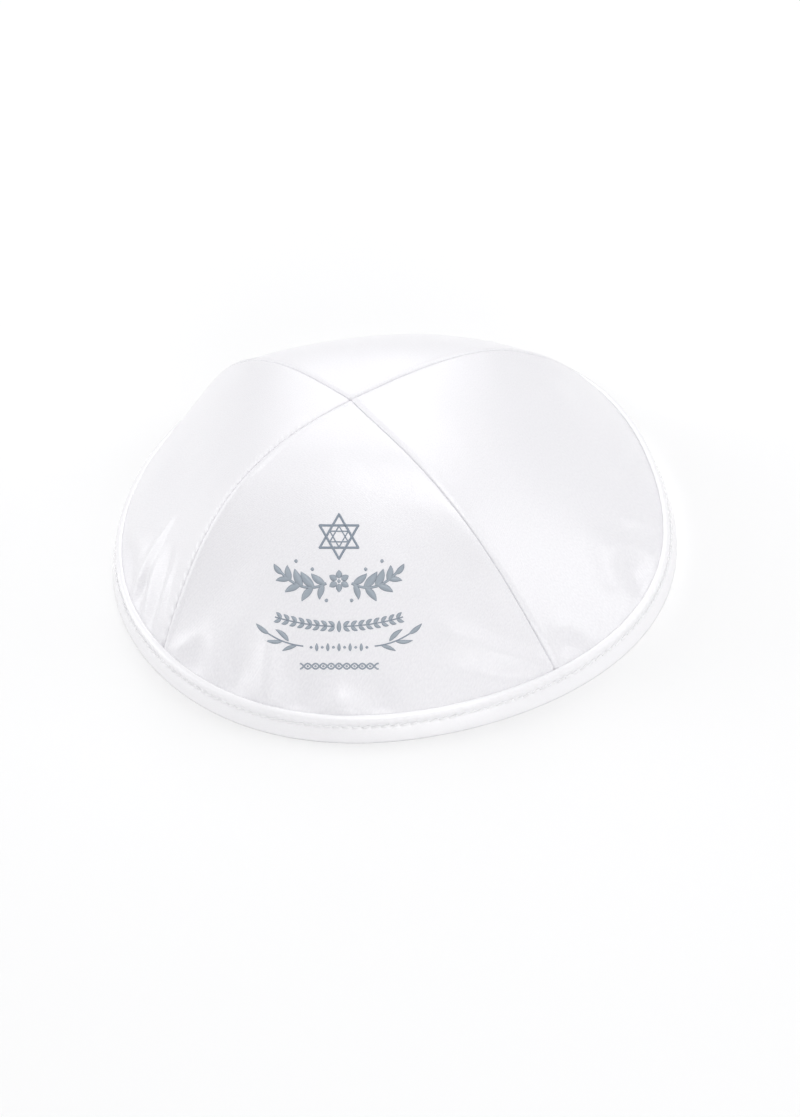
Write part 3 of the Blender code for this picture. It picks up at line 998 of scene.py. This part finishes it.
def film_material(name, colour):
    """Smooth transfer film with a slightly uneven tone, where the cloth shows through."""
    material, shader = new_material(name, {"Base Color": colour, "Roughness": 0.4})
    links = material.node_tree.links
    place = add_node(material, "ShaderNodeTexCoord")
    mottle = add_node(material, "ShaderNodeTexNoise", {"Scale": 900.0, "Detail": 2.0})
    links.new(place.outputs["Object"], mottle.inputs["Vector"])
    light = tuple(min(1, channel * FILM_MOTTLE) for channel in colour[:3]) + (1.0,)
    tone = add_node(material, "ShaderNodeMix", {MIX_FIRST: colour, MIX_SECOND: light}, data_type="RGBA")
    links.new(mottle.outputs["Fac"], tone.inputs[MIX_FACTOR])
    links.new(tone.outputs[MIX_RESULT], shader.inputs["Base Color"])
    return material


def camera_axes():
    """Right, up and back of the rolled camera."""
    back = Vector((0, -math.cos(CAMERA_ELEVATION), math.sin(CAMERA_ELEVATION)))
    level = Vector((1, 0, 0))
    up = back.cross(level)
    right = math.cos(CAMERA_ROLL) * level + math.sin(CAMERA_ROLL) * up
    rolled_up = -math.sin(CAMERA_ROLL) * level + math.cos(CAMERA_ROLL) * up
    return right, rolled_up, back


def camera_place():
    right, up, back = camera_axes()
    return CROWN_TOP + CAMERA_ASIDE * right + CAMERA_RAISED * up + CAMERA_DISTANCE * back


def build_camera():
    """The camera, aimed at the cap from the photograph's angle."""
    right, up, back = camera_axes()
    data = bpy.data.cameras.new("camera")
    data.sensor_width = 36.0
    data.lens = CAMERA_LENS
    data.clip_end = 10.0
    camera = bpy.data.objects.new("camera", data)
    turn = Matrix((right, up, back)).transposed().to_4x4()
    camera.matrix_world = Matrix.Translation(camera_place()) @ turn
    bpy.context.scene.collection.objects.link(camera)
    bpy.context.scene.camera = camera


def build_floor():
    """A plain pale floor."""
    mesh = bmesh.new()
    bmesh.ops.create_grid(mesh, x_segments=8, y_segments=8, size=3.0)
    data = finished_mesh("floor", mesh)
    look = {"Base Color": FLOOR, "Roughness": 0.9, "Specular IOR Level": 0.1}
    data.materials.append(new_material("floor", look)[0])
    floor = bpy.data.objects.new("floor", data)
    bpy.context.scene.collection.objects.link(floor)


def add_lamp(lamp):
    """A square lamp that faces the cap."""
    data = bpy.data.lights.new(lamp.name, "AREA")
    data.shape = "SQUARE"
    data.size = lamp.size
    data.energy = lamp.power
    light = bpy.data.objects.new(lamp.name, data)
    light.location = lamp.place
    aim = Vector(lamp.place) - LAMP_TARGET
    light.rotation_euler = aim.to_track_quat("Z", "Y").to_euler()
    bpy.context.scene.collection.objects.link(light)


def build_light():
    """An even pale surround and the lamps."""
    world = bpy.data.worlds.new("studio")
    world.use_nodes = True
    background = world.node_tree.nodes["Background"]
    set_inputs(background, {"Color": STUDIO, "Strength": STUDIO_STRENGTH})
    bpy.context.scene.world = world
    for lamp in LAMPS:
        add_lamp(lamp)
    bpy.context.scene.view_settings.view_transform = "Standard"


def build_gores(material):
    """The four gores, by the names of the parts that they replace."""
    pieces = {}
    for name, node, first, second, ridges in GORES:
        outer, inner, cloth = gore_grid(first, second, ridges)
        data = slab_mesh(name, outer, inner, cloth)
        data.materials.append(material)
        pieces[node] = link_piece(name, data, "gore_satin", node)
    return pieces


build_camera()
build_floor()
build_light()
gore_satin = satin_material(
    "gore_satin", light=SATIN, shade=SATIN_SHADE, roughness=0.34, grain_angle=math.radians(38)
)
binding_satin = satin_material(
    "binding_satin", light=BINDING_SATIN, shade=BINDING_SHADE, roughness=0.27, grain_angle=math.radians(20)
)
gores = build_gores(gore_satin)
build_binding(binding_satin)
build_rim_stitches(thread_material())
print_line = film_material("print_line", PRINT_LINE)
print_fill = film_material("print_fill", PRINT_FILL)
build_print(gores["gore_front"], print_line, print_fill)
